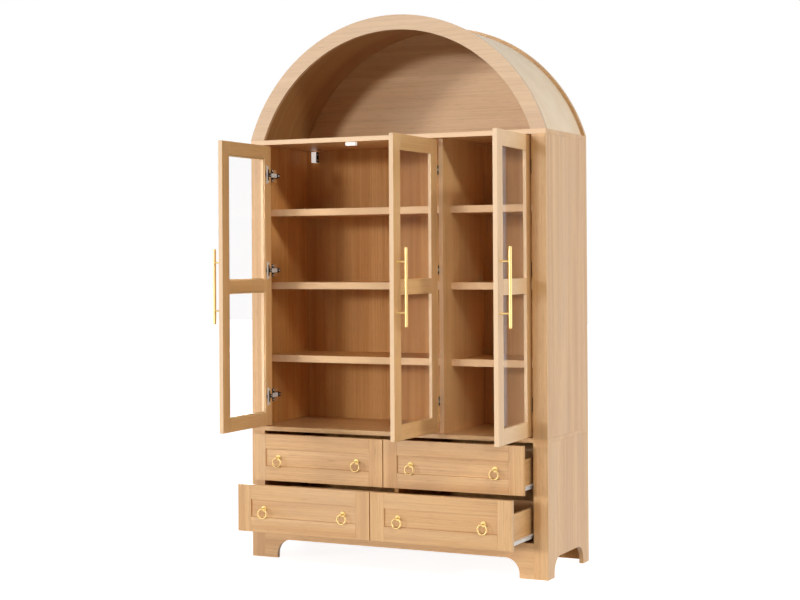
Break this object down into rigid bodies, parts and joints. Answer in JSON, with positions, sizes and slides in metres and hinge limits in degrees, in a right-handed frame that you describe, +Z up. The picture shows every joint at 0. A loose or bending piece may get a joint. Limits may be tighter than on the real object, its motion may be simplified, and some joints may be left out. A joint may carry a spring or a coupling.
{
  "type": "display cabinet",
  "caption": "Tall cabinet with an open arched top compartment, glazed doors over shelves, and rows of drawers with ring pulls on scalloped feet.",
  "frame": {"origin": "middle of the whole rest pose seen from above, at floor height", "axes": "+Z up, +Y from the front to the back, +X to the right for a viewer in front; the doors and drawers stand open towards -Y"},
  "size_m": [1.1, 0.6996, 1.8499],
  "materials": {
    "oak": "satin wood-grain laminate",
    "cream_paint": "smooth cream paint outside, wood grain inside",
    "brass": "brushed",
    "glass": "clear",
    "hinge_steel": "plated",
    "white_metal": "white enamel",
    "white_plastic": "matt"
  },
  "bodies": {
    "carcass": {"lower_side_left": "oak", "lower_side_right": "oak", "lower_stiles": "oak", "apron": "oak", "bottom_panel": "oak", "drawer_partition": "oak", "lower_back_panel": "oak", "middle_board": "oak", "upper_side_left": "oak", "upper_side_right": "oak", "upper_stiles": "oak", "divider": "oak", "upper_back_panel": "oak", "shelves": "oak", "side_packers": "oak", "top_board": "oak", "arch_front_ring": "oak", "arch_back_panel": "oak", "arch_shell": "cream_paint", "hinge_arms": "hinge_steel", "magnetic_catch": "white_plastic", "wall_bracket": "white_plastic", "cabinet_runners": "white_metal"},
    "left_door": {"left_door_frame": "oak", "left_door_glass": "glass", "left_door_handle": "brass", "left_door_hinge_cups": "hinge_steel"},
    "middle_door": {"middle_door_frame": "oak", "middle_door_glass": "glass", "middle_door_handle": "brass", "middle_door_hinge_cups": "hinge_steel"},
    "right_door": {"right_door_frame": "oak", "right_door_glass": "glass", "right_door_handle": "brass", "right_door_hinge_cups": "hinge_steel"},
    "upper_left_drawer": {"upper_left_front": "oak", "upper_left_box": "oak", "upper_left_posts": "brass", "upper_left_runners": "white_metal"},
    "upper_right_drawer": {"upper_right_front": "oak", "upper_right_box": "oak", "upper_right_posts": "brass", "upper_right_runners": "white_metal"},
    "lower_left_drawer": {"lower_left_front": "oak", "lower_left_box": "oak", "lower_left_posts": "brass", "lower_left_runners": "white_metal"},
    "lower_right_drawer": {"lower_right_front": "oak", "lower_right_box": "oak", "lower_right_posts": "brass", "lower_right_runners": "white_metal"},
    "upper_left_ring_a": {"upper_left_ring_a": "brass"},
    "upper_left_ring_b": {"upper_left_ring_b": "brass"},
    "upper_right_ring_a": {"upper_right_ring_a": "brass"},
    "upper_right_ring_b": {"upper_right_ring_b": "brass"},
    "lower_left_ring_a": {"lower_left_ring_a": "brass"},
    "lower_left_ring_b": {"lower_left_ring_b": "brass"},
    "lower_right_ring_a": {"lower_right_ring_a": "brass"},
    "lower_right_ring_b": {"lower_right_ring_b": "brass"}
  },
  "joints": [
    {"name": "left_door_hinge", "type": "hinge", "parent": "carcass", "child": "left_door", "pos_m": [-0.488, -0.02916, 0.9425], "axis": [0, 0, -1], "range_deg": [-88.5, 8.5]},
    {"name": "middle_door_hinge", "type": "hinge", "parent": "carcass", "child": "middle_door", "pos_m": [0.15533, -0.02916, 0.9425], "axis": [0, 0, 1], "range_deg": [-90, 7]},
    {"name": "right_door_hinge", "type": "hinge", "parent": "carcass", "child": "right_door", "pos_m": [0.488, -0.02916, 0.9425], "axis": [0, 0, 1], "range_deg": [-93.5, 3.5]},
    {"name": "upper_left_slide", "type": "slide", "parent": "carcass", "child": "upper_left_drawer", "axis": [0, -1, 0], "range_m": [-0.0815, 0.1685]},
    {"name": "upper_right_slide", "type": "slide", "parent": "carcass", "child": "upper_right_drawer", "axis": [0, -1, 0], "range_m": [-0.0815, 0.1685]},
    {"name": "lower_left_slide", "type": "slide", "parent": "carcass", "child": "lower_left_drawer", "axis": [0, -1, 0], "range_m": [-0.179, 0.071]},
    {"name": "lower_right_slide", "type": "slide", "parent": "carcass", "child": "lower_right_drawer", "axis": [0, -1, 0], "range_m": [-0.179, 0.071]},
    {"name": "upper_left_ring_a_swing", "type": "hinge", "parent": "upper_left_drawer", "child": "upper_left_ring_a", "pos_m": [-0.4, -0.12466, 0.35663], "axis": [-1, 0, 0], "range_deg": [-10, 95]},
    {"name": "upper_left_ring_b_swing", "type": "hinge", "parent": "upper_left_drawer", "child": "upper_left_ring_b", "pos_m": [-0.1, -0.12466, 0.35663], "axis": [-1, 0, 0], "range_deg": [-10, 95]},
    {"name": "upper_right_ring_a_swing", "type": "hinge", "parent": "upper_right_drawer", "child": "upper_right_ring_a", "pos_m": [0.1, -0.12466, 0.35663], "axis": [-1, 0, 0], "range_deg": [-10, 95]},
    {"name": "upper_right_ring_b_swing", "type": "hinge", "parent": "upper_right_drawer", "child": "upper_right_ring_b", "pos_m": [0.4, -0.12466, 0.35663], "axis": [-1, 0, 0], "range_deg": [-10, 95]},
    {"name": "lower_left_ring_a_swing", "type": "hinge", "parent": "lower_left_drawer", "child": "lower_left_ring_a", "pos_m": [-0.4, -0.22216, 0.19637], "axis": [-1, 0, 0], "range_deg": [-10, 95]},
    {"name": "lower_left_ring_b_swing", "type": "hinge", "parent": "lower_left_drawer", "child": "lower_left_ring_b", "pos_m": [-0.1, -0.22216, 0.19637], "axis": [-1, 0, 0], "range_deg": [-10, 95]},
    {"name": "lower_right_ring_a_swing", "type": "hinge", "parent": "lower_right_drawer", "child": "lower_right_ring_a", "pos_m": [0.1, -0.22216, 0.19637], "axis": [-1, 0, 0], "range_deg": [-10, 95]},
    {"name": "lower_right_ring_b_swing", "type": "hinge", "parent": "lower_right_drawer", "child": "lower_right_ring_b", "pos_m": [0.4, -0.22216, 0.19637], "axis": [-1, 0, 0], "range_deg": [-10, 95]}
  ]
}
